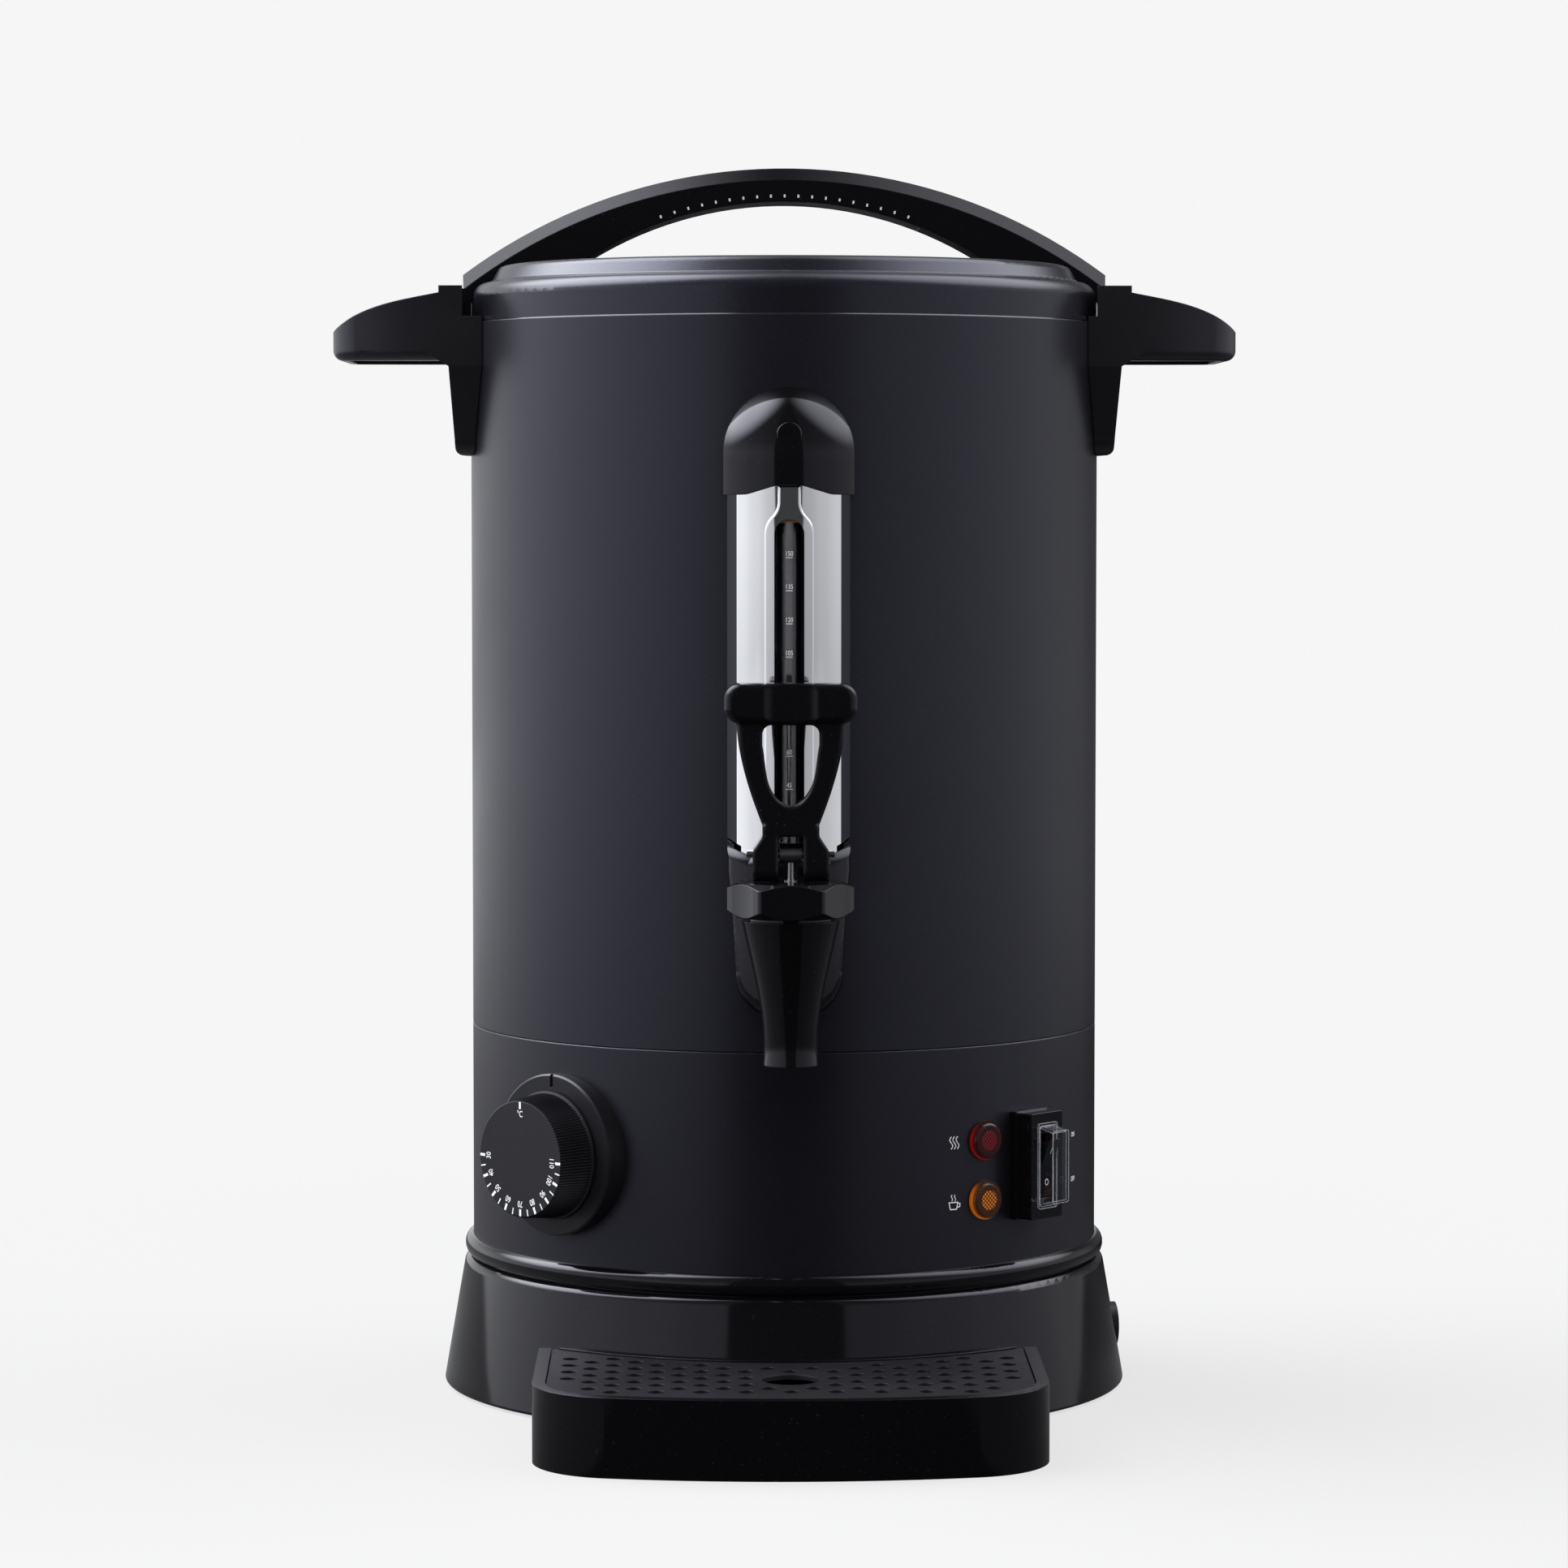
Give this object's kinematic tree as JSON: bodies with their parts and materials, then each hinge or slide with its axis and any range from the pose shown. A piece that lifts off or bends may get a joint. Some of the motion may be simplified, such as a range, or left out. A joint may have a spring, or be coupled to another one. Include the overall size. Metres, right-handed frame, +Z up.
{
  "type": "hot drink urn",
  "caption": "Tall round electric hot drink urn with a self-closing tap, a sight gauge in a chromed cover, a thermostat dial, a covered switch, a twist-off lid and a drip tray.",
  "frame": {"origin": "on the tank's axis, at the table that the urn stands on", "axes": "+Z up, the tap looks along -Y, +X is to the right of someone who faces the tap"},
  "size_m": [0.399, 0.4015, 0.5434],
  "materials": {
    "tank_black": "satin black enamel outside, bright steel inside",
    "band_black": "satin black enamel",
    "lid_black": "satin black enamel",
    "gloss_black": "high gloss black moulding",
    "grip_black": "gloss black moulding",
    "satin_black": "fine satin black moulding",
    "chrome_trim": "bright chrome",
    "bright_steel": "plain steel",
    "silicone": "grey silicone",
    "foot_rubber": "black rubber",
    "tube_glass": "clear glass",
    "red_lens": "clear red plastic",
    "amber_lens": "clear amber plastic",
    "clear_hood": "clear soft plastic"
  },
  "bodies": {
    "urn": {"base_skirt": "gloss_black", "base_plate": "bright_steel", "feet": "foot_rubber", "base_screws": "bright_steel", "base_ring": "gloss_black", "cord_gland": "satin_black", "gland_nut": "satin_black", "control_band": "band_black", "terminal_block": "satin_black", "heating_element": "bright_steel", "dry_boil_cutout": "satin_black", "thermostat_bulb": "bright_steel", "thermostat_body": "bright_steel", "thermostat_nut": "bright_steel", "thermostat_bezel": "satin_black", "red_lamp_body": "satin_black", "red_lamp_lens": "red_lens", "amber_lamp_body": "satin_black", "amber_lamp_lens": "amber_lens", "switch_frame": "satin_black", "switch_hood": "clear_hood", "tank": "tank_black", "tank_bottom": "bright_steel", "gauge_top_cap": "gloss_black", "gauge_cover": "chrome_trim", "gauge_bottom_cap": "gloss_black", "gauge_tube": "tube_glass", "gauge_seals": "silicone", "gauge_fitting": "bright_steel", "gauge_screw": "bright_steel", "tap_body": "gloss_black", "tap_bonnet": "gloss_black", "tap_spring": "bright_steel", "tap_nut": "bright_steel", "tap_washers": "silicone", "handle_left": "grip_black", "handle_right": "grip_black", "handle_screws": "bright_steel", "handle_washers": "bright_steel"},
    "stem": {"tap_stem": "bright_steel", "tap_pin": "bright_steel", "tap_seat_cup": "silicone"},
    "lever": {"tap_lever": "grip_black"},
    "knob": {"thermostat_knob": "grip_black", "thermostat_shaft": "bright_steel"},
    "rocker": {"switch_rocker": "satin_black"},
    "seal": {"lid_seal": "silicone"},
    "lid": {"lid_shell": "lid_black", "lid_rim_ring": "bright_steel", "lid_handle": "grip_black", "lid_handle_insert": "satin_black", "lid_handle_screws": "bright_steel"},
    "tray": {"drip_tray": "gloss_black"},
    "grille": {"drip_grille": "satin_black"}
  },
  "joints": [
    {"name": "tap_stem_lift", "type": "slide", "parent": "urn", "child": "stem", "axis": [0, 0, 1], "range_m": [0, 0.005], "deforming": ["tap_spring"]},
    {"name": "tap_lever_tilt", "type": "hinge", "parent": "stem", "child": "lever", "pos_m": [0, -0.195, 0.251], "axis": [1, 0, 0], "range_deg": [0, 50], "stiffness_Nm_per_rad": 0.4, "springref_deg": -8.59},
    {"name": "thermostat_turn", "type": "hinge", "parent": "urn", "child": "knob", "pos_m": [-0.1042, -0.1079, 0.1146], "axis": [0.6947, 0.7193, 0], "range_deg": [0, 270]},
    {"name": "switch_rock", "type": "hinge", "parent": "urn", "child": "rocker", "pos_m": [0.11051, -0.0995, 0.1092], "axis": [0.6691, 0.7431, 0], "range_deg": [-20, 0]},
    {"name": "lid_lift", "type": "slide", "parent": "urn", "child": "seal", "axis": [0, 0, 1], "range_m": [0, 0.12]},
    {"name": "lid_twist", "type": "hinge", "parent": "seal", "child": "lid", "pos_m": [0, 0, 0.4812], "axis": [0, 0, 1], "range_deg": [0, 25]},
    {"name": "tray_slide", "type": "slide", "parent": "urn", "child": "tray", "axis": [0, -1, 0], "range_m": [0, 0.15]},
    {"name": "grille_lift", "type": "slide", "parent": "tray", "child": "grille", "axis": [0, 0, 1], "range_m": [0, 0.04]}
  ],
  "couplings": [
    {"joint": "tap_lever_tilt", "follows": "tap_stem_lift", "rad_per_m": 174.53}
  ]
}
